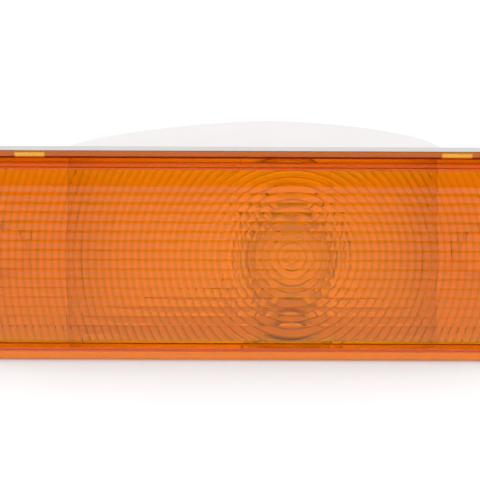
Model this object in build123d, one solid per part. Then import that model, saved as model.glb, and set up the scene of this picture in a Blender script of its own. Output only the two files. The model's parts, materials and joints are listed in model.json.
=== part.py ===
from build123d import *
import math
import os

# Parking light. X runs across the lamp, Y runs from the lens to the back, Z is up.
# The origin is the middle of the mounting face, between the two studs.
# The lens leans back, and the lens, bulb and socket share one leaning optical frame:
# its Y runs from the back of the lens flange into the lamp, and its Z runs up the lens.

# Lens, millimetres and degrees
lens_width = 176.0
lens_height = 66.0
lens_corner = 4.0
lens_lean = 11.0
lens_setback = 13.5  # from the mounting face forward to the middle of the flange's back
flange_thickness = 3.0
flange_border = 3.6  # flange left showing above and below the raised face
flange_end = 5.0  # flange left showing at each end of the raised face
step_run = 2.4  # how far the sloped step runs in from the flange
step_rise = 2.6  # how far it rises
bead_height = 0.35  # two half-round beads along the upper step
face_rise = 4.0  # face in front of the flange, at mid-height
face_crown = 0.9  # how much the face falls back towards its upper and lower edges
face_thickness = 3.0
upper_band = 4.2  # plain band between the upper step and the flutes
lower_band = 1.8
flute_count = 16
flute_height = 0.32
face_wall = 2.8  # side walls of the raised face
pocket_corner = 3.0

# Ring optics on the inside of the lens
ring_pitch = 2.3
ring_height = 0.6
ring_x = 15.5
ring_up = -0.5

# Lens skirt, seal and snap windows
skirt_thickness = 1.8
skirt_depth = 3.4
seal_depth = 1.5
fit_gap = 0.25
window_spacing = 135.5
window_width = 9.8
window_height = 2.0
window_depth = 1.7
window_edge = 0.6  # from the flange's edge to the window

# Housing
mouth_wall = 2.2
mouth_length = 7.0
joggle = 1.2  # the walls step in behind the mouth
housing_wall = 2.4
bowl_left = 58.0
bowl_right = 64.0
bowl_peak = 7.0  # where the bowl is deepest, across the lamp
bowl_depth = 52.0  # behind the mounting face
bowl_left_fullness = 1.5  # 2 is an ellipse, less is leaner
bowl_right_fullness = 1.8
bowl_points = 9
pad_width = 28.0
pad_x = 13.5
rib_thickness = 2.0
rib_height = 18.0
rib_reach = 15.0  # along the tray, from the bowl
rib_spacing = 34.0

# Mounting studs
stud_spacing = 152.0
stud_radius = 2.5
stud_length = 18.0
stud_chamfer = 0.8
stud_neck_radius = 3.4  # wider neck, buried in the wall
stud_head_radius = 5.0
stud_head = 2.6
stud_boss_radius = 7.0
stud_cover = 2.0  # plastic in front of the buried head

# Socket, on the bulb axis
bulb_x = 15.5
bulb_up = -2.6
pad_inset = 8.5  # from the bowl's deepest point forward to the pad
pad_thickness = 3.0
hole_radius = 15.8
cup_wall = 2.4
cup_length = 6.0
socket_gap = 0.4
socket_seal_thickness = 1.5
socket_flange_radius = 17.5
socket_flange = 3.0
socket_nose = 6.0  # barrel in front of the pad
socket_barrel_wall = 1.8
socket_tube_wall = 2.0
socket_core_depth = 8.0
socket_tail_radius = 12.5
socket_tail = 18.0
socket_partition = 1.6
lug_count = 3
lug_angle = 30.0
lug_seat_angle = 45.0
lug_height = 1.7
lug_thickness = 2.7
lug_gap = 0.3
wing_thickness = 3.0
wing_reach = 4.5
wing_length = 15.0

# Bulb
base_radius = 7.6
base_wall = 0.4
base_length = 17.0
base_lead = 5.0  # the cap's front end stands this far in front of the pad
insulator_thickness = 2.4
tip_radius = 1.6
tip_height = 1.2
tip_spacing = 6.0
pin_radius = 1.0
pin_reach = 1.8
pin_distance = 6.5  # behind the cap's front end
pin_angle = 25.0
slot_gap = 0.3
glass_radius = 13.25
glass_wall = 0.7
glass_length = 31.0  # in front of the cap
glass_angle = 60.0  # where the ball runs out into the cone, from the axis
neck_radius = 6.9
neck_depth = 9.0  # inside the cap
stem_foot = 2.0
stem_radius = 2.4
stem_length = 12.0
lead_radius = 0.3
lead_spacing = 5.0
park_reach = 15.0  # the filaments stand this far in front of the cap
turn_reach = 19.0
filament_radius = 0.45
filament_offset = 1.6  # each filament stands this far off the axis

# Contacts and grommet
contact_thickness = 0.5
contact_width = 3.2
contact_tail = 6.5
contact_rise = 5.2
ground_thickness = 0.6
ground_length = 16.0
grommet_lip = 2.0
grommet_plug = 5.0
grommet_lip_radius = 11.0
grommet_wall = 3.0  # socket wall left around the plug
wire_radius = 1.3
wire_circle = 4.6
wire_count = 3

# Sizes that follow
far = 400.0
half_width = lens_width / 2
half_height = lens_height / 2
level_half = half_height * math.cos(math.radians(lens_lean))
wall_half = level_half - joggle
inner_half = wall_half - housing_wall
face_half = half_height - flange_border
crest_half = face_half - step_run
step_front = flange_thickness + step_rise
face_front = flange_thickness + face_rise
ring_base = face_thickness - face_front
pad_distance = bowl_depth + lens_setback - pad_inset  # distances are from the back of the lens flange
seat_distance = pad_distance + pad_thickness
recess_radius = socket_flange_radius + socket_gap
cup_radius = recess_radius + cup_wall
barrel_radius = hole_radius - socket_gap
nose_front = pad_distance - socket_nose
flange_front = seat_distance + socket_seal_thickness
tail_front = flange_front + socket_flange
tail_end = tail_front + socket_tail
bore_radius = base_radius + fit_gap
tube_radius = bore_radius + socket_tube_wall
base_front = pad_distance - base_lead
base_end = base_front + base_length
glass_front = base_front - glass_length
neck_end = base_front + neck_depth
park_distance = base_front - park_reach
turn_distance = base_front - turn_reach
tip_end = base_end + tip_height
contact_end = tip_end + contact_thickness
plug_radius = socket_tail_radius - grommet_wall
partition_end = contact_end + socket_partition

optical = Pos(0, -lens_setback, 0) * Rot(-lens_lean, 0, 0)
bulb_axis = optical * Pos(bulb_x, 0, bulb_up)


def slab(front, back):
    """Everything between two distances behind the lens flange."""
    return optical * Pos(0, (front + back) / 2, 0) * Box(far, back - front, far)


def level_prism(half_x, half_z, corner):
    """A rounded rectangle drawn along Y."""
    return extrude(Plane.XZ * RectangleRounded(2 * half_x, 2 * half_z, corner), far / 2, both=True)


def level_frame(half_x, half_z, corner, wall):
    """A rectangular ring drawn along Y."""
    outer = level_prism(half_x, half_z, corner)
    return outer - level_prism(half_x - wall, half_z - wall, max(corner - wall, wall / 2))


def drum(radius, front, back):
    """A cylinder along the bulb axis, before it is placed."""
    return Pos(0, (front + back) / 2, 0) * Rot(90, 0, 0) * Cylinder(radius, back - front)


def around(angle):
    """A turn about the bulb axis."""
    return Rot(0, angle, 0)


def behind_mounting_face():
    return Pos(0, far / 2, 0) * Box(far, far, far)


def face_line():
    """The lens section from the upper step to the lower one: beads, band, flutes, band."""
    def crowned(height):
        return face_crown * (height / crest_half) ** 2 - face_front

    def bulged(start, end, amount):
        run = (end[0] - start[0], end[1] - start[1])
        length = math.hypot(*run)
        middle = ((start[0] + end[0]) / 2, (start[1] + end[1]) / 2)
        top = (middle[0] + amount * run[1] / length, middle[1] - amount * run[0] / length)
        return ThreePointArc(start, top, end)

    upper_start = (-flange_thickness, face_half)
    upper_end = (-step_front, crest_half)
    bead_meet = ((upper_start[0] + upper_end[0]) / 2, (upper_start[1] + upper_end[1]) / 2)
    flute_top = crest_half - upper_band
    flute_bottom = lower_band - crest_half
    pitch = (flute_top - flute_bottom) / flute_count
    valleys = [flute_top - pitch * number for number in range(flute_count + 1)]
    edges = [
        Line((0, face_half), upper_start),
        bulged(upper_start, bead_meet, bead_height),
        bulged(bead_meet, upper_end, bead_height),
        Line(upper_end, (crowned(flute_top), flute_top)),
    ]
    for above, below in zip(valleys, valleys[1:]):
        edges.append(bulged((crowned(above), above), (crowned(below), below), flute_height))
    edges += [
        Line((crowned(flute_bottom), flute_bottom), (-step_front, -crest_half)),
        Line((-step_front, -crest_half), (-flange_thickness, -face_half)),
        Line((-flange_thickness, -face_half), (0, -face_half)),
        Line((0, -face_half), (0, face_half)),
    ]
    return edges


def make_lens():
    flange = extrude(Plane.XZ * RectangleRounded(lens_width, lens_height, lens_corner), flange_thickness)
    face_x = half_width - flange_end
    section = make_face(Plane.YZ * Wire(face_line()))
    bar = extrude(section, face_x, both=True)
    slope = step_run / step_rise
    top_x = face_x - slope * (face_rise + flute_height)
    plan = Polyline(
        (-face_x, 0), (-face_x, -flange_thickness), (-top_x, -face_front - flute_height),
        (top_x, -face_front - flute_height), (face_x, -flange_thickness), (face_x, 0), close=True,
    )
    raised = bar & extrude(make_face(plan), far / 2, both=True)

    # Air behind the rings: a saw-toothed disc turned about the ring centre, cut to the pocket
    pocket_x = face_x - face_wall
    pocket_half = face_half - face_wall
    reach = math.hypot(pocket_x + abs(ring_x), pocket_half + abs(ring_up))
    zones = math.ceil(reach / ring_pitch)
    teeth = []
    for zone in range(zones):
        teeth.append((zone * ring_pitch, ring_base + ring_height))
        teeth.append(((zone + 1) * ring_pitch, ring_base))
    teeth.append((zones * ring_pitch, flange_thickness))
    teeth.append((0, flange_thickness))
    disc = Pos(ring_x, 0, ring_up) * revolve(make_face(Polyline(*teeth, close=True)), Axis.Y)
    pocket = extrude(
        Plane.XZ * RectangleRounded(2 * pocket_x, 2 * pocket_half, pocket_corner), far / 2, both=True
    )
    body = flange + raised - (pocket & disc)

    window_up = half_height - window_edge - window_height / 2
    for side in (-1, 1):
        place = Pos(side * window_spacing / 2, -window_depth / 2, window_up)
        body -= place * Box(window_width, window_depth, window_height)

    skirt_x = half_width - mouth_wall - fit_gap
    skirt_half = level_half - mouth_wall - fit_gap
    skirt = level_frame(skirt_x, skirt_half, lens_corner - mouth_wall, skirt_thickness)
    return optical * body + (skirt & slab(0, skirt_depth))


def make_lens_seal():
    seal_x = half_width - mouth_wall
    seal_half = level_half - mouth_wall
    ring = level_frame(seal_x, seal_half, lens_corner - mouth_wall, joggle + housing_wall - mouth_wall)
    return ring & slab(skirt_depth, skirt_depth + seal_depth)


def bowl_plan(inset):
    """The bowl seen from above, its wall set in by the given amount."""
    points = []
    for number in range(bowl_points):
        turn = math.pi * number / (bowl_points - 1)
        left = turn > math.pi / 2
        reach = (bowl_left + bowl_peak if left else bowl_right - bowl_peak) - inset
        power = 2 / (bowl_left_fullness if left else bowl_right_fullness)
        across = math.copysign(abs(math.cos(turn)) ** power, math.cos(turn))
        points.append((bowl_peak + reach * across, (bowl_depth - inset) * math.sin(turn) ** power))
    points[0] = (bowl_right - inset, 0)
    points[-1] = (inset - bowl_left, 0)
    front = -housing_wall - inset
    edges = [
        Spline(*points),
        Polyline(points[-1], (points[-1][0], front), (points[0][0], front), points[0]),
    ]
    return make_face(edges)


def make_rib(side, height):
    """A three-cornered web between the back of the tray and the side of the bowl."""
    root = bowl_right if side > 0 else bowl_left
    reach = root - side * bowl_peak
    fullness = bowl_right_fullness if side > 0 else bowl_left_fullness
    tip = side * bowl_peak + reach * (1 - (rib_height / bowl_depth) ** fullness) ** (1 / fullness)
    inside = tip - housing_wall / 2
    web = Polyline(
        (side * (root + rib_reach), 0), (side * tip, rib_height), (side * inside, rib_height),
        (side * inside, -housing_wall / 2), (side * (root + rib_reach), -housing_wall / 2), close=True,
    )
    return Pos(0, 0, height) * extrude(make_face(web), rib_thickness / 2, both=True)


def make_housing():
    mouth = level_prism(half_width, level_half, lens_corner) & slab(0, mouth_length)
    tray_corner = lens_corner - joggle
    tray = (level_prism(half_width - joggle, wall_half, tray_corner) & slab(0, far)) - behind_mounting_face()
    bowl = extrude(bowl_plan(0), wall_half, both=True)
    body = mouth + tray + bowl
    for side in (-1, 1):
        for height in (-rib_spacing / 2, rib_spacing / 2):
            body += make_rib(side, height)
    cup = bulb_axis * drum(cup_radius, pad_distance, seat_distance + cup_length)
    body += cup & Box(far, far, 2 * wall_half)

    room_x = half_width - joggle - housing_wall
    ledge = skirt_depth + seal_depth
    mouth_room = level_prism(half_width - mouth_wall, level_half - mouth_wall, lens_corner - mouth_wall)
    room = mouth_room & slab(-far / 4, ledge)
    tray_room = level_prism(room_x, inner_half, housing_wall) & slab(0, far)
    room += tray_room - Pos(0, -housing_wall, 0) * behind_mounting_face()
    room += extrude(bowl_plan(housing_wall), inner_half, both=True)
    pad = optical * Pos(pad_x, pad_distance + far / 2, 0) * Box(pad_width, far, far)
    room -= pad
    room -= bulb_axis * drum(cup_radius, pad_distance, far)
    for side in (-1, 1):
        boss_length = housing_wall + stud_head + stud_cover
        boss = Rot(90, 0, 0) * Cylinder(stud_boss_radius, 2 * boss_length)
        room -= Pos(side * stud_spacing / 2, 0, 0) * boss
    body -= room

    body -= bulb_axis * drum(recess_radius, seat_distance, far / 2)
    body -= bulb_axis * drum(hole_radius, nose_front, seat_distance)
    for number in range(lug_count):
        notch_width = 2 * (barrel_radius + lug_height) * math.sin(math.radians(lug_angle / 2)) + 2 * lug_gap
        notch_reach = barrel_radius + lug_height + lug_gap
        notch = Pos(0, (nose_front + seat_distance) / 2, notch_reach / 2)
        notch = notch * Box(notch_width, seat_distance - nose_front, notch_reach)
        body -= bulb_axis * around(360 / lug_count * number - lug_seat_angle) * notch
    tab_height = window_height - 2 * fit_gap
    tab_up = half_height - window_edge - window_height / 2
    for side in (-1, 1):
        depth = window_depth - fit_gap
        tab = Pos(side * window_spacing / 2, -depth / 2, tab_up)
        body += optical * tab * Box(window_width - 2 * fit_gap, depth, tab_height)
    return body - make_studs()


def make_studs():
    """Studs moulded into the tray: a head and neck inside the plastic, and a shank behind it."""
    head_front = -housing_wall - stud_head
    profile = Polyline(
        (0, head_front), (stud_head_radius, head_front), (stud_head_radius, -housing_wall),
        (stud_neck_radius, -housing_wall), (stud_neck_radius, 0), (stud_radius, 0),
        (stud_radius, stud_length - stud_chamfer), (stud_radius - stud_chamfer, stud_length),
        (0, stud_length), close=True,
    )
    stud = revolve(make_face(profile), Axis.Y)
    return Compound(children=[Pos(side * stud_spacing / 2, 0, 0) * stud for side in (-1, 1)])


def make_socket():
    body = drum(barrel_radius, nose_front, flange_front)
    body += drum(socket_flange_radius, flange_front, tail_front)
    body += drum(socket_tail_radius, tail_front, tail_end)
    for side in (-1, 1):
        reach = socket_tail_radius + wing_reach
        wing = Pos(side * reach / 2, tail_front + wing_length / 2, 0)
        body += wing * Box(reach, wing_length, wing_thickness)
    core = drum(barrel_radius - socket_barrel_wall, nose_front, nose_front + socket_core_depth)
    body -= core - drum(tube_radius, nose_front, nose_front + socket_core_depth)
    for number in range(lug_count):
        lug = drum(barrel_radius + lug_height, pad_distance - lug_gap - lug_thickness, pad_distance - lug_gap)
        wedge_half = far * math.tan(math.radians(lug_angle / 2))
        wedge = make_face(Plane.XZ * Polyline((0, 0), (wedge_half, far), (-wedge_half, far), close=True))
        lug = lug & extrude(wedge, far / 2, both=True)
        lug -= drum(barrel_radius - socket_barrel_wall / 2, nose_front, flange_front)
        body += around(360 / lug_count * number) * lug
    body -= drum(bore_radius, nose_front, contact_end)
    body -= drum(plug_radius, partition_end, tail_end)

    # Bayonet slots: straight in, then round to the pin's seat
    pin_centre = base_front + pin_distance
    slot_half = pin_radius + slot_gap
    slot_reach = tube_radius + socket_gap
    for side in (0, 180):
        length = pin_centre + slot_half - nose_front
        entry = Pos(slot_reach / 2, nose_front + length / 2, 0) * Box(slot_reach, length, 2 * slot_half)
        body -= around(side) * entry
        for turn in (pin_angle / 2, pin_angle):
            seat = Pos(slot_reach / 2, pin_centre, 0) * Box(slot_reach, 2 * slot_half, 2 * slot_half)
            body -= around(side + turn) * seat
    return bulb_axis * (body - contact_strip(-1) - contact_strip(1) - ground_strip())


def contact_strip(side):
    """A leaf under one solder tip, bent back through the partition."""
    leaf_height = contact_rise + tip_radius
    leaf = Pos(side * tip_spacing / 2, tip_end + contact_thickness / 2, leaf_height / 2 - tip_radius)
    leaf = leaf * Box(contact_width, contact_thickness, leaf_height)
    tail = Pos(side * tip_spacing / 2, tip_end + contact_tail / 2, contact_rise - contact_thickness / 2)
    tail = tail * Box(contact_width, contact_tail, contact_thickness)
    return leaf + tail


def ground_strip():
    """A leaf along the top of the bulb's cap, in a groove of the socket's bore."""
    start = base_end - ground_length
    length = tip_end + contact_tail - start
    height = base_radius + ground_thickness / 2
    return Pos(0, start + length / 2, height) * Box(contact_width, length, ground_thickness)


def make_socket_seal():
    ring = drum(socket_flange_radius, seat_distance, flange_front)
    return bulb_axis * (ring - drum(barrel_radius, seat_distance, flange_front))


def make_grommet():
    body = drum(plug_radius, tail_end - grommet_plug, tail_end)
    body += drum(grommet_lip_radius, tail_end, tail_end + grommet_lip)
    for number in range(wire_count):
        hole = Pos(0, 0, wire_circle) * drum(wire_radius, tail_end - grommet_plug, tail_end + grommet_lip)
        body -= around(360 / wire_count * number) * hole
    return bulb_axis * body


def pins_at_rest():
    pins = []
    for side in (0, 180):
        inner = base_radius - base_wall
        length = base_wall + pin_reach
        pin = Rot(0, 90, 0) * Cylinder(pin_radius, length)
        pin = Pos(inner + length / 2, base_front + pin_distance, 0) * pin
        pin -= drum(inner, base_front, base_end)
        pins.append(bulb_axis * around(side + pin_angle) * pin)
    return Compound(children=pins)


def make_base():
    cap = drum(base_radius, base_front, base_end) - drum(base_radius - base_wall, base_front, base_end)
    return bulb_axis * cap - pins_at_rest()


def make_insulator():
    return bulb_axis * drum(base_radius - base_wall, base_end - insulator_thickness, base_end)


def make_tips():
    tips = []
    for side in (-1, 1):
        tips.append(bulb_axis * Pos(side * tip_spacing / 2, 0, 0) * drum(tip_radius, base_end, tip_end))
    return Compound(children=tips)


def glass_form(inset, end):
    """The bulb's ball, cone and neck as one turned solid."""
    taper = math.radians(glass_angle)
    ball = glass_radius - inset
    centre = glass_front + glass_radius
    neck = neck_radius - inset
    join = (ball * math.sin(taper), centre + ball * math.cos(taper))
    run = (join[0] - neck) / math.cos(taper)
    neck_start = join[1] + run * math.sin(taper)
    edges = [
        ThreePointArc((0, centre - ball), (ball, centre), join),
        Polyline(join, (neck, neck_start), (neck, end), (0, end), (0, centre - ball)),
    ]
    return revolve(make_face(edges), Axis.Y)


def make_glass():
    return bulb_axis * (glass_form(0, neck_end) - glass_form(glass_wall, neck_end))


def make_stem():
    foot = drum(neck_radius - glass_wall, neck_end - stem_foot, neck_end)
    return bulb_axis * (foot + drum(stem_radius, neck_end - stem_foot - stem_length, neck_end - stem_foot))


def filament(distance, height):
    rod = Rot(0, 90, 0) * Cylinder(filament_radius, lead_spacing + 2 * lead_radius)
    return bulb_axis * Pos(0, distance, height) * rod


def make_leads():
    stem_front = neck_end - stem_foot - stem_length
    leads = []
    for height, distance in ((filament_offset, park_distance), (-filament_offset, turn_distance)):
        for side in (-1, 1):
            tip = distance + filament_radius
            foot = (side * stem_radius / 2, stem_front, height / 2)
            end = (side * lead_spacing / 2, tip, height)
            length = math.dist(foot, end)
            path = Plane(origin=end, z_dir=(foot[0] - end[0], foot[1] - end[1], foot[2] - end[2]))
            leads.append(bulb_axis * path.location * Pos(0, 0, length / 2) * Cylinder(lead_radius, length))
    return leads


def make_lead_group():
    trimmed = []
    filaments = filament(park_distance, filament_offset) + filament(turn_distance, -filament_offset)
    blocks = make_stem() + filaments
    for lead in make_leads():
        trimmed.append((lead - blocks).solids().sort_by(SortBy.VOLUME)[-1])
    return Compound(children=trimmed)


pieces = {
    "lens": make_lens(),
    "housing": make_housing(),
    "lens_seal": make_lens_seal(),
    "mounting_studs": make_studs(),
    "socket_body": make_socket(),
    "socket_seal": make_socket_seal(),
    "park_contact": bulb_axis * contact_strip(-1),
    "turn_contact": bulb_axis * contact_strip(1),
    "ground_contact": bulb_axis * ground_strip(),
    "wire_grommet": make_grommet(),
    "bulb_base": make_base(),
    "bayonet_pins": pins_at_rest(),
    "base_insulator": make_insulator(),
    "base_tips": make_tips(),
    "bulb_glass": make_glass(),
    "glass_stem": make_stem(),
    "lead_wires": make_lead_group(),
    "park_filament": filament(park_distance, filament_offset),
    "turn_filament": filament(turn_distance, -filament_offset),
}

os.makedirs("parts", exist_ok=True)
for node, shape in pieces.items():
    export_step(shape, f"parts/{node}.step")
    print(node, round(shape.volume, 1))
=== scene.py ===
# %% [markdown]
# # A parking light with an amber lens
# This lesson dresses a finished CAD model of a parking light. The CAD pieces are loaded as a fixed frame
# in metres: X runs across the lamp, Y from the lens to the back, Z up. We never move them. We give each
# one a finish, and where the render needs more than the CAD mesh holds, such as the fine rings and flutes
# of the lens, we build a closer mesh of the same form in the same place.

# %% Load the frame
import bpy
import bmesh
import json
import math
from mathutils import Matrix, Quaternion, Vector


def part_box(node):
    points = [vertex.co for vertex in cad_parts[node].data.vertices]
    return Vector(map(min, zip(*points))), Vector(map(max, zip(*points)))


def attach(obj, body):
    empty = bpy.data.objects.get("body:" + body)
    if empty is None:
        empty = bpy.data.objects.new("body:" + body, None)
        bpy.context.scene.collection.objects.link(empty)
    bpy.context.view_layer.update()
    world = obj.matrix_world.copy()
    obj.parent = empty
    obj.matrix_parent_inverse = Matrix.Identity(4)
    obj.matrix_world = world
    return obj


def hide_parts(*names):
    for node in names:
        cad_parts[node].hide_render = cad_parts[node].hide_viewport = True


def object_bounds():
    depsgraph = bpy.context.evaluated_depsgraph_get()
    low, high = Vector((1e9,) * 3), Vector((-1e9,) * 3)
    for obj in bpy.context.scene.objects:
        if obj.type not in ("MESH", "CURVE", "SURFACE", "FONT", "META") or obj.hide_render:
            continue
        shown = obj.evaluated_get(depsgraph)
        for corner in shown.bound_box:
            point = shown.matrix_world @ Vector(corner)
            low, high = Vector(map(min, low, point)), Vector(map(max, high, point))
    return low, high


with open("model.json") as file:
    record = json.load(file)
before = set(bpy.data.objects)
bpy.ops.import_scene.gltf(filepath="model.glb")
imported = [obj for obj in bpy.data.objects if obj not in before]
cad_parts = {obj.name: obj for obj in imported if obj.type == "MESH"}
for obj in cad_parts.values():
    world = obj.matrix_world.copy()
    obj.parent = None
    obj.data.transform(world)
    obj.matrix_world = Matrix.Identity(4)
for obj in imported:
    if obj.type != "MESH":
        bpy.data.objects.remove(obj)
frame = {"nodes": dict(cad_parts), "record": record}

cad_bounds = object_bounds()
nodes = frame["nodes"]
mm = 0.001
print("pieces", sorted(nodes))
print("CAD box", [[round(value, 4) for value in corner] for corner in cad_bounds])

# %% [markdown]
# ## The leaning optical frame
# The lens leans back, and the rings, the bulb and the socket all share its axis. Every point could be
# worked out with the lean in it, but that is hard to read. A matrix that takes lens coordinates (across,
# into the lamp, up the lens) to the lamp's own frame lets us build the lens upright, where its sizes are
# plain, and then put it in place in one step.

# %% Optical frame
lens_lean = math.radians(11.0)
lens_setback = 13.5 * mm
optical = Matrix.Translation((0, -lens_setback, 0)) @ Matrix.Rotation(-lens_lean, 4, "X")
lens_low, lens_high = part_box("lens")
half_width = (lens_high[0] - lens_low[0]) / 2
half_height = 33.0 * mm
print("half width", round(half_width, 4), "half height", half_height)

# %% [markdown]
# ## The lens face
# On the real lamp the lens is one amber moulding: a thin flange all round, a plain slope and two beads
# above, and a raised face with shallow horizontal flutes. The flutes could be repeated with an array, but
# the face is crowned, so each one sits at its own depth. Flutes and beads never change along the lens, so
# we draw the section once and loft it between two ends. That keeps every flute straight, and letting the
# ends slope in with the depth gives the end walls their draft.

# %% Lens sizes
flange_thickness = 3.0 * mm
flange_border = 3.6 * mm
flange_end = 5.0 * mm
rim_height = 1.8 * mm
slope_rise = 1.2 * mm
step_run = 2.4 * mm
step_rise = 2.6 * mm
bead_height = 0.35 * mm
face_rise = 4.0 * mm
face_crown = 0.9 * mm
upper_band = 4.2 * mm
lower_band = 1.8 * mm
flute_count = 16
flute_height = 0.15 * mm
overlap = 0.5 * mm
face_half = half_height - flange_border
crest_half = face_half - step_run
face_x = half_width - flange_end
face_front = flange_thickness + face_rise
step_front = flange_thickness + step_rise
print("face", round(2 * face_x, 4), "by", round(2 * face_half, 4))


# %% Crown and shallow arcs
def crowned(height):
    """Depth of the crowned face at a height on the lens."""
    return face_crown * (height / crest_half) ** 2 - face_front


def bulge(start, end, amount, steps):
    """Points of a shallow arc from start to end, end left out."""
    run = (end[0] - start[0], end[1] - start[1])
    length = math.hypot(*run)
    points = []
    for step in range(steps):
        share = step / steps
        rise = 4 * amount * share * (1 - share)
        points.append((
            start[0] + run[0] * share + rise * run[1] / length,
            start[1] + run[1] * share - rise * run[0] / length,
        ))
    return points


print("face depth from", round(crowned(0), 4), "to", round(crowned(crest_half), 4))

# %% Lens section
bead_steps = 8
flute_steps = 10
rim = (-flange_thickness, half_height - rim_height)
bead_start = (-flange_thickness - slope_rise, face_half)
bead_end = (-step_front, crest_half)
bead_meet = ((bead_start[0] + bead_end[0]) / 2, (bead_start[1] + bead_end[1]) / 2)
flute_top = crest_half - upper_band
flute_bottom = lower_band - crest_half
flute_pitch = (flute_top - flute_bottom) / flute_count
section = [(-overlap, rim[1]), rim]
section += bulge(bead_start, bead_meet, bead_height, bead_steps)
section += bulge(bead_meet, bead_end, bead_height, bead_steps)
section.append(bead_end)
for number in range(flute_count):
    above = flute_top - flute_pitch * number
    below = above - flute_pitch
    section += bulge((crowned(above), above), (crowned(below), below), flute_height, flute_steps)
section += [
    (crowned(flute_bottom), flute_bottom),
    (-step_front, -crest_half),
    (-flange_thickness, -face_half),
    (-overlap, -face_half),
]
print("section points", len(section))


# %% Mesh from points
def new_object(name, points, faces):
    """A mesh object with all its faces turned outward."""
    mesh = bpy.data.meshes.new(name)
    mesh.from_pydata([tuple(point) for point in points], [], faces)
    mesh.validate()
    piece = bpy.data.objects.new(name, mesh)
    bpy.context.scene.collection.objects.link(piece)
    turned = bmesh.new()
    turned.from_mesh(mesh)
    bmesh.ops.recalc_face_normals(turned, faces=turned.faces)
    turned.to_mesh(mesh)
    turned.free()
    return piece


def loft(name, rings, capped=True, closed_row=False):
    """Skins a row of closed rings that all have the same number of points."""
    count = len(rings[0])
    points = [point for ring in rings for point in ring]
    faces = []
    rows = len(rings) if closed_row else len(rings) - 1
    for row in range(rows):
        here = row * count
        there = (row + 1) % len(rings) * count
        for index in range(count):
            after = (index + 1) % count
            faces.append((here + index, here + after, there + after, there + index))
    if capped:
        faces.append(tuple(range(count)))
        faces.append(tuple(range(len(points) - count, len(points))))
    return new_object(name, points, faces)


print("mesh helpers ready")


# %% Lens face
def end_of_face(depth):
    """How far across the face reaches at a depth in front of the flange's back."""
    return face_x - max(0.0, depth - flange_thickness) * step_run / step_rise


face_ends = []
for side in (-1, 1):
    face_ends.append([(side * end_of_face(-y), y, z) for y, z in section])
lens = loft("amber_lens", face_ends)
print("lens face faces", len(lens.data.polygons))

# %% [markdown]
# ## Flange and skirt
# The flange is the flat rim that lies on the housing's mouth, and the skirt is the thin wall that drops
# into it. Both could be extruded and bevelled by hand. Stacking one rounded outline at several depths
# gives the rounded edge of the flange and the lean of the skirt straight away. A boolean joins each to
# the face, and we keep only its result, so that no modifier or helper object is left behind.


# %% Rounded outline
def rounded_rectangle(half_x, half_z, corner, steps=6):
    """Points of a rounded rectangle as (across, up), anticlockwise."""
    points = []
    for turn, (side_x, side_z) in enumerate(((1, 1), (-1, 1), (-1, -1), (1, -1))):
        for step in range(steps + 1):
            angle = math.pi / 2 * (turn + step / steps)
            points.append((
                side_x * (half_x - corner) + corner * math.cos(angle),
                side_z * (half_z - corner) + corner * math.sin(angle),
            ))
    return points


print("outline helper ready")


# %% Boolean
def combine(target, other, operation):
    """Runs one boolean on target and deletes the other object."""
    modifier = target.modifiers.new(operation, "BOOLEAN")
    modifier.object = other
    modifier.operation = operation
    modifier.solver = "MANIFOLD"
    graph = bpy.context.evaluated_depsgraph_get()
    result = bpy.data.meshes.new_from_object(target.evaluated_get(graph))
    target.modifiers.clear()
    target.data = result
    bpy.data.objects.remove(other)


print("boolean helper ready")

# %% Flange
flange_corner = 4.0 * mm
edge_round = 0.4 * mm
edge_middle = 0.3 * edge_round
flange_profile = [
    (0.0, 0.0),
    (-flange_thickness + edge_round, 0.0),
    (-flange_thickness + edge_middle, edge_middle),
    (-flange_thickness, edge_round),
]
flange_rings = []
for depth, inset in flange_profile:
    outline = rounded_rectangle(half_width - inset, half_height - inset, flange_corner - inset)
    flange_rings.append([(x, depth, z) for x, z in outline])
combine(lens, loft("flange", flange_rings), "UNION")
print("lens faces with flange", len(lens.data.polygons))

# %% Skirt
mouth_wall = 2.2 * mm
fit_gap = 0.25 * mm
skirt_thickness = 0.7 * mm
skirt_depth = 3.4 * mm
skirt_corner = 1.8 * mm
skirt_x = half_width - mouth_wall - fit_gap
skirt_half = half_height - (mouth_wall + fit_gap) / math.cos(lens_lean)
skirt_profile = [
    (0, -overlap),
    (0, skirt_depth),
    (skirt_thickness, skirt_depth),
    (skirt_thickness, -overlap),
]
skirt_rings = []
for inset, depth in skirt_profile:
    outline = rounded_rectangle(skirt_x - inset, skirt_half - inset, skirt_corner)
    skirt_rings.append([(x, depth, z + depth * math.tan(lens_lean)) for x, z in outline])
combine(lens, loft("skirt", skirt_rings, capped=False, closed_row=True), "UNION")
print("lens faces with skirt", len(lens.data.polygons))

# %% [markdown]
# ## Rings inside the lens
# Behind the face the real lens carries circular prisms, one step after another, that gather the bulb's
# light. Each ring is a shallow slope, a little hollow, that ends in a leaning riser. A bump in the
# material could hint at them, but only real prisms bend the view of what lies behind. We turn the profile
# of one ring after another about the ring centre to make the air behind the lens, cut that air to the
# pocket, and take it away from the lens body. The rings fall back with the crown of the face, so that the
# lens keeps its thickness and its colour. Many segments round the axis keep the arcs true, because bent
# light shows every corner. Low rings show as fine lines, and high ones would break up what lies behind.

# %% Ring sizes
face_thickness = 3.0 * mm
face_wall = 2.2 * mm
ring_pitch = 2.3 * mm
ring_height = 0.16 * mm
ring_hollow = 0.03 * mm
riser_lean = 0.4 * mm
ring_x = 15.5 * mm
ring_up = -0.5 * mm
ring_base = face_thickness - face_front
pocket_x = face_x - face_wall
pocket_half = face_half - face_wall
ring_reach = math.hypot(pocket_x + ring_x, pocket_half - ring_up)
ring_count = math.ceil(ring_reach / ring_pitch)
print("rings", ring_count)

# %% Ring circles
ring_segments = 256


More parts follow.
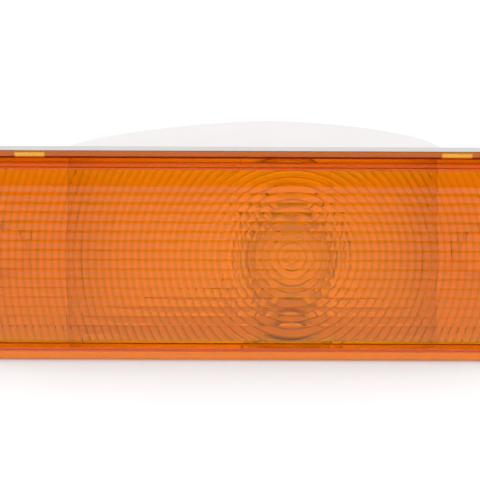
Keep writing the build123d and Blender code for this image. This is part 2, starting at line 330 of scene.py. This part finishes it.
def turned_ring(radius, depth):
    """One circle of points about the ring centre, set back with the crown of the face."""
    points = []
    for step in range(ring_segments):
        angle = 2 * math.pi * step / ring_segments
        up = ring_up + radius * math.sin(angle)
        fall = face_crown * min(1.0, (up / crest_half) ** 2)
        points.append((ring_x + radius * math.cos(angle), depth + fall, up))
    return points


print("points in a circle", ring_segments)

# %% Air behind the rings
ring_steps = 5
air_rings = []
for ring in range(ring_count):
    inner = ring * ring_pitch + (0 if ring else riser_lean)
    run = (ring + 1) * ring_pitch - riser_lean - inner
    for step in range(ring_steps + 1):
        share = step / ring_steps
        sag = 4 * ring_hollow * share * (1 - share)
        air_rings.append(turned_ring(inner + run * share, ring_base + ring_height * (1 - share) - sag))
air_rings.append(turned_ring(ring_count * ring_pitch, ring_base))
air_rings.append(turned_ring(ring_count * ring_pitch, flange_thickness))
air = loft("ring_air", air_rings)
print("circles in the air", len(air_rings))

# %% Rings cut into the lens
pocket_corner = 3.0 * mm
pocket_rings = []
for depth in (-face_front, 2 * flange_thickness):
    outline = rounded_rectangle(pocket_x, pocket_half, pocket_corner)
    pocket_rings.append([(x, depth, z) for x, z in outline])
combine(air, loft("pocket", pocket_rings), "INTERSECT")
combine(lens, air, "DIFFERENCE")
print("lens faces with rings", len(lens.data.polygons))

# %% [markdown]
# ## Snap windows
# Two shallow windows behind the upper flange take the housing's locating tabs. The amber is thin there,
# so they glow yellow. They could be painted as yellow patches, but the thin plastic gives the colour by
# itself, so we take two small boxes away from behind. That was the last cut, so the lens then leans into
# its place and takes the CAD lens's part.

# %% Snap windows
window_spacing = 135.5 * mm
window_width = 9.8 * mm
window_height = 2.0 * mm
window_depth = 1.7 * mm
window_corner = 0.2 * mm
window_corner_steps = 2
window_edge = 0.6 * mm
window_up = half_height - window_edge - window_height / 2
for side in (-1, 1):
    outline = rounded_rectangle(window_width / 2, window_height / 2, window_corner, window_corner_steps)
    window_rings = []
    for depth in (-window_depth, overlap):
        window_rings.append([(x + side * window_spacing / 2, depth, z + window_up) for x, z in outline])
    combine(lens, loft("window", window_rings), "DIFFERENCE")
print("windows at", round(window_up, 4))

# %% Lens in place
crisp_angle = math.radians(17)
lens.data.transform(optical)
lens.data.shade_smooth()
lens.data.set_sharp_from_angle(angle=crisp_angle)
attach(lens, "root")
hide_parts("lens")
print("lens triangles", sum(len(face.vertices) - 2 for face in lens.data.polygons))

# %% [markdown]
# ## Amber lens plastic
# Clear plastic bends light at its surface and takes away blue and green on the way through, so thick
# edges turn deep orange and thin places yellow. A tinted surface would be simpler, but it gives one orange
# everywhere. A shader with full transmission and a plain absorption inside gives both colours from the
# true thickness of the mesh. A noise texture drives a weak bump, like the small waves of a moulded face.
# The lens casts no shadow, because the shadow of clear plastic would be rendered black and would hide the
# light that really passes through.


# %% Material helpers
def start_material(name):
    """A new material, its node tree and its shader."""
    material = bpy.data.materials.new(name)
    material.use_nodes = True
    tree = material.node_tree
    return material, tree, tree.nodes["Principled BSDF"]


def grain(tree, scale, detail, stretch=(1, 1, 1)):
    """A noise texture in the object's own metres."""
    place = tree.nodes.new("ShaderNodeTexCoord")
    sized = tree.nodes.new("ShaderNodeMapping")
    sized.inputs["Scale"].default_value = stretch
    noise = tree.nodes.new("ShaderNodeTexNoise")
    noise.inputs["Scale"].default_value = scale
    noise.inputs["Detail"].default_value = detail
    tree.links.new(place.outputs["Object"], sized.inputs["Vector"])
    tree.links.new(sized.outputs["Vector"], noise.inputs["Vector"])
    return noise


def bump_from(tree, noise, shader, depth, strength):
    """Lets the noise roughen the surface by a depth."""
    bump = tree.nodes.new("ShaderNodeBump")
    bump.inputs["Strength"].default_value = strength
    bump.inputs["Distance"].default_value = depth
    tree.links.new(noise.outputs["Fac"], bump.inputs["Height"])
    tree.links.new(bump.outputs["Normal"], shader.inputs["Normal"])


print("material helpers ready")

# %% Amber plastic
amber, tree, shader = start_material("amber_plastic")
shader.inputs["Base Color"].default_value = (1.0, 0.96, 0.9, 1)
shader.inputs["Transmission Weight"].default_value = 1.0
shader.inputs["IOR"].default_value = 1.49
shader.inputs["Roughness"].default_value = 0.03
bump_from(tree, grain(tree, 90, 2), shader, 0.05 * mm, 0.06)
absorb = tree.nodes.new("ShaderNodeVolumeAbsorption")
absorb.inputs["Color"].default_value = (0.985, 0.825, 0.0, 1)
absorb.inputs["Density"].default_value = 2000.0
tree.links.new(absorb.outputs["Volume"], tree.nodes["Material Output"].inputs["Volume"])
lens.data.materials.clear()
lens.data.materials.append(amber)
lens.visible_shadow = False
print("lens material", lens.data.materials[0].name)

# %% [markdown]
# ## Opaque finishes
# The housing and socket are white moulded plastic with a fine spark-eroded grain. The two seals are pale
# and soft, the grommet is black rubber, the brass carries faint stamping streaks, and the studs and the
# bulb's cap are plated. Scanned textures could show all that, but noise made by nodes fits any size and
# needs no file. One function makes the plastics and one the metals, so each finish is one line. On steel,
# brass and wire the noise is stretched along the lamp, as drawing and stamping leave it.


# %% Colour and roughness from noise
def vary(tree, noise, socket, low, high):
    """Lets the noise swing a socket between two colours or two numbers."""
    ramp = tree.nodes.new("ShaderNodeValToRGB")
    if isinstance(low, tuple):
        ramp.color_ramp.elements[0].color = (*low, 1)
        ramp.color_ramp.elements[1].color = (*high, 1)
    else:
        ramp.color_ramp.elements[0].color = (low, low, low, 1)
        ramp.color_ramp.elements[1].color = (high, high, high, 1)
    ramp.color_ramp.elements[0].position = 0.3
    ramp.color_ramp.elements[1].position = 0.7
    tree.links.new(noise.outputs["Fac"], ramp.inputs["Fac"])
    tree.links.new(ramp.outputs["Color"], socket)


print("variation helper ready")


# %% Plastic and metal
def plastic(name, low, high, roughness, grain_scale, grain_depth):
    """A moulded surface: a slow change of colour and a fine grain."""
    material, tree, shader = start_material(name)
    noise = grain(tree, grain_scale, 4)
    vary(tree, grain(tree, 40, 3), shader.inputs["Base Color"], low, high)
    vary(tree, noise, shader.inputs["Roughness"], roughness - 0.06, roughness + 0.06)
    bump_from(tree, noise, shader, grain_depth, 0.25)
    return material


def metal(name, low, high, roughness, stretch):
    """A metal with streaks in its colour, roughness and surface."""
    material, tree, shader = start_material(name)
    shader.inputs["Metallic"].default_value = 1.0
    streaks = grain(tree, 300, 3, stretch)
    vary(tree, streaks, shader.inputs["Base Color"], low, high)
    vary(tree, streaks, shader.inputs["Roughness"], roughness - 0.08, roughness + 0.08)
    bump_from(tree, streaks, shader, 0.02 * mm, 0.2)
    return material


print("plastic and metal ready")

# %% [markdown]
# ## Painted shade on the housing by depth
# The mouth and the tray of the housing lie close behind the lens, which casts no shadow here, so they come
# out brighter than the deep bowl. Their colour is darkened as painted shade in place of the missing shade.
# Two materials would leave a hard line between them. A ramp along the lamp's depth, multiplied into the
# colour of the moulding, gives the painted shade with no line.

# %% Housing moulding
white = plastic("white_moulding", (0.86, 0.83, 0.82), (0.89, 0.86, 0.85), 0.42, 2500, 0.04 * mm)
tree = white.node_tree
colour = tree.nodes["Principled BSDF"].inputs["Base Color"]
moulding_colour = colour.links[0].from_socket
print("housing material", white.name)

# %% Depth ramp of the painted shade
shade_full_depth = -0.5 * mm
shade_fade_end = 2.5 * mm
# painted shade: the colour of the mouth and tray is multiplied by this tone
painted_shade_tone = 0.76
place = tree.nodes.new("ShaderNodeTexCoord")
axes = tree.nodes.new("ShaderNodeSeparateXYZ")
depth = tree.nodes.new("ShaderNodeMapRange")
depth.inputs["From Min"].default_value = shade_full_depth
depth.inputs["From Max"].default_value = shade_fade_end
# painted shade ramp: darker in front, the moulding's full colour from the bowl back
shade_ramp_colour = tree.nodes.new("ShaderNodeValToRGB")
shade_ramp_colour.color_ramp.elements[0].color = (painted_shade_tone, painted_shade_tone, painted_shade_tone, 1)
tree.links.new(place.outputs["Object"], axes.inputs["Vector"])
tree.links.new(axes.outputs["Y"], depth.inputs["Value"])
tree.links.new(depth.outputs["Result"], shade_ramp_colour.inputs["Fac"])
print("tone", painted_shade_tone, "in front of", shade_full_depth)

# %% Moulding darkened by painted shade
# multiplies the painted shade into the moulding's colour
shade_multiply = tree.nodes.new("ShaderNodeMixRGB")
shade_multiply.blend_type = "MULTIPLY"
shade_multiply.inputs["Fac"].default_value = 1.0
tree.links.new(moulding_colour, shade_multiply.inputs["Color1"])
tree.links.new(shade_ramp_colour.outputs["Color"], shade_multiply.inputs["Color2"])
tree.links.new(shade_multiply.outputs["Color"], colour)
print("housing colour is", shade_multiply.blend_type.lower(), "of moulding and tone")

# %% [markdown]
# ## The bulb's glass
# No filament shows through the lens, only a round pale form. So the bulb's glass is frosted: it passes
# part of the light and scatters the rest. A clear glass over a white coat would need two meshes. One
# shader with part transmission and a rough surface blurs what is inside and keeps the CAD mesh.

# %% Frosted glass
frosted, tree, shader = start_material("frosted_glass")
shader.inputs["Base Color"].default_value = (0.9, 0.9, 0.88, 1)
shader.inputs["Transmission Weight"].default_value = 0.4
shader.inputs["IOR"].default_value = 1.5
shader.inputs["Roughness"].default_value = 0.55
bump_from(tree, grain(tree, 60, 1), shader, 0.05 * mm, 0.05)
nodes["bulb_glass"].visible_shadow = False
print("bulb glass material", frosted.name)

# %% [markdown]
# ## Finishes by slot
# Each CAD piece carries the name of a material slot. Giving finishes out by slot dresses every piece that
# shares one in the same way, and a new piece of the same stuff needs no new line.

# %% Finishes by slot
finishes = {
    "white_housing": white,
    "clear_glass": frosted,
    "socket_plastic": plastic("white_nylon", (0.88, 0.87, 0.84), (0.92, 0.91, 0.88), 0.45, 1800, 0.04 * mm),
    "seal_rubber": plastic("black_rubber", (0.022, 0.022, 0.022), (0.04, 0.04, 0.04), 0.7, 1200, 0.05 * mm),
    "dark_glass": plastic("fused_glass", (0.012, 0.012, 0.016), (0.022, 0.022, 0.028), 0.2, 600, 0.02 * mm),
    "plated_steel": metal("plated_steel", (0.56, 0.55, 0.50), (0.68, 0.67, 0.62), 0.3, (1, 0.1, 1)),
    "contact_brass": metal("stamped_brass", (0.72, 0.55, 0.25), (0.82, 0.66, 0.34), 0.28, (1, 0.15, 1)),
    "solder": metal("solder", (0.60, 0.60, 0.60), (0.72, 0.72, 0.72), 0.35, (1, 1, 1)),
    "wire_metal": metal("drawn_wire", (0.66, 0.65, 0.63), (0.76, 0.75, 0.73), 0.4, (1, 0.05, 1)),
}


def dress(piece, finish):
    """Gives a piece one material in place of what it had."""
    piece.data.materials.clear()
    piece.data.materials.append(finish)


for row in frame["record"]["subparts"]:
    if row["material_slot"] in finishes:
        dress(nodes[row["node"]], finishes[row["material_slot"]])
print("finishes", sorted(finishes))

# %% [markdown]
# ## Finishes of single pieces
# A few pieces share a slot with others but look different on the lamp: the two seals are pale, the glass
# stem is milky, and the bulb's cap and pins are nickel plated. They are dressed again by their own names.

# %% Finishes by piece
milky = plastic("milky_glass", (0.86, 0.86, 0.85), (0.90, 0.90, 0.89), 0.25, 600, 0.02 * mm)
gasket = plastic("pale_gasket", (0.80, 0.79, 0.76), (0.84, 0.83, 0.80), 0.6, 1200, 0.04 * mm)
nickel = metal("nickel_plate", (0.90, 0.88, 0.85), (0.95, 0.93, 0.90), 0.5, (1, 1, 1))
own_finish = {
    "lens_seal": gasket,
    "socket_seal": gasket,
    "glass_stem": milky,
    "bulb_base": nickel,
    "bayonet_pins": nickel,
}
for name, finish in own_finish.items():
    dress(nodes[name], finish)
print("own finishes", sorted(own_finish))

# %% [markdown]
# ## Studio
# The lamp stands on a pale floor under an even white sky, so the background is white by its own colour.
# Shiny plastic also mirrors what is around it. Here that is a broad white panel in front of the lamp with
# dark above and below it, because a mirror of white everywhere would wash the amber out. A real panel
# would also shade the lamp, so it is part of the sky and only mirrored rays see it. Two soft lamps light
# the object at a plain level: a large one near the axis of the lens and a weak one overhead. They are left
# out of the mirrored picture, which is the panel's alone.

# %% Floor
floor_size = 6.0
floor_height = cad_bounds[0][2]
floor_corners = []
for side_x, side_y in ((-1, -1), (1, -1), (1, 1), (-1, 1)):
    floor_corners.append((side_x * floor_size, side_y * floor_size, floor_height))
floor = new_object("floor", floor_corners, [(0, 1, 2, 3)])
paper, tree, shader = start_material("floor_paper")
shader.inputs["Roughness"].default_value = 0.9
vary(tree, grain(tree, 8, 2), shader.inputs["Base Color"], (0.975, 0.975, 0.975), (0.99, 0.99, 0.99))
floor.data.materials.append(paper)
floor.visible_glossy = False
print("floor at", round(floor_height, 4))

# %% White sky
world = bpy.data.worlds.new("studio")
bpy.context.scene.world = world
world.use_nodes = True
tree = world.node_tree
sky = tree.nodes["Background"]
sky.inputs["Color"].default_value = (1, 1, 1, 1)
sky.inputs["Strength"].default_value = 1.0
print("sky strength", sky.inputs["Strength"].default_value)

# %% Panel by height
dark = (0.02, 0.02, 0.02, 1)
bright = (1, 1, 1, 1)
direction = tree.nodes.new("ShaderNodeTexCoord")
axes = tree.nodes.new("ShaderNodeSeparateXYZ")
height = tree.nodes.new("ShaderNodeMapRange")
height.inputs["From Min"].default_value = -1.0
height.inputs["From Max"].default_value = 1.0
panel = tree.nodes.new("ShaderNodeValToRGB")
panel.color_ramp.elements[0].position = 0.12
panel.color_ramp.elements[0].color = dark
panel.color_ramp.elements[1].position = 0.22
panel.color_ramp.elements[1].color = bright
panel.color_ramp.elements.new(0.65).color = bright
panel.color_ramp.elements.new(0.71).color = dark
tree.links.new(direction.outputs["Generated"], axes.inputs["Vector"])
tree.links.new(axes.outputs["Z"], height.inputs["Value"])
tree.links.new(height.outputs["Result"], panel.inputs["Fac"])
print("panel stops", [round(stop.position, 2) for stop in panel.color_ramp.elements])

# %% Panel for mirrored rays
mirrored = tree.nodes.new("ShaderNodeBackground")
mirrored.inputs["Strength"].default_value = 1.0
path = tree.nodes.new("ShaderNodeLightPath")
choose = tree.nodes.new("ShaderNodeMixShader")
tree.links.new(panel.outputs["Color"], mirrored.inputs["Color"])
tree.links.new(path.outputs["Is Glossy Ray"], choose.inputs["Fac"])
tree.links.new(sky.outputs["Background"], choose.inputs[1])
tree.links.new(mirrored.outputs["Background"], choose.inputs[2])
tree.links.new(choose.outputs["Shader"], tree.nodes["World Output"].inputs["Surface"])
print("mirrored strength", mirrored.inputs["Strength"].default_value)


# %% Lamps
def soft_lamp(name, place, target, size, power):
    """A square area lamp turned to a target and not seen in mirrors."""
    light = bpy.data.lights.new(name, "AREA")
    light.size = size
    light.energy = power
    lamp = bpy.data.objects.new(name, light)
    lamp.location = place
    lamp.rotation_euler = (Vector(target) - Vector(place)).to_track_quat("-Z", "Y").to_euler()
    lamp.visible_glossy = False
    bpy.context.scene.collection.objects.link(lamp)


soft_lamp("front_softbox", place=(0, -1.9, 0.42), target=(0, 0, 0), size=1.0, power=12.5)
soft_lamp("top_softbox", place=(0.1, 0.1, 1.2), target=(0, 0.02, 0), size=0.9, power=1.6)

# %% [markdown]
# ## Camera
# The picture looks almost square at the leaning lens from a little above, close enough that both ends run
# out of the frame. A near camera would bend the lamp's lines, so it stands far off with a long lens. The
# focal length follows from the distance and from how many millimetres of lens the picture is wide.

# %% Camera lens
picture_width = 151.4 * mm
picture_side = 480
camera_distance = 1.2
camera_data = bpy.data.cameras.new("photo_camera")
camera_data.sensor_width = 36.0
camera_data.lens = camera_data.sensor_width * camera_distance / picture_width
camera_data.clip_start = 0.01
camera_data.clip_end = 50.0
print("camera focal length", round(camera_data.lens, 1))
print("pixels per mm", round(picture_side * mm / picture_width, 3))

# %% Camera place
camera_lift = math.radians(12.2)
camera_roll = math.radians(0.22)
middle_across = -0.95 * mm
middle_up = 4.9 * mm
camera = bpy.data.objects.new("photo_camera", camera_data)
bpy.context.scene.collection.objects.link(camera)
aim = optical @ Vector((middle_across, -face_front, middle_up))
towards = Vector((0, math.cos(camera_lift), -math.sin(camera_lift)))
camera.location = aim - towards * camera_distance
camera.rotation_euler = (towards.to_track_quat("-Z", "Y") @ Quaternion((0, 0, 1), camera_roll)).to_euler()
bpy.context.scene.camera = camera
bpy.context.scene.view_settings.view_transform = "Standard"
print("camera at", [round(value, 3) for value in camera.location])
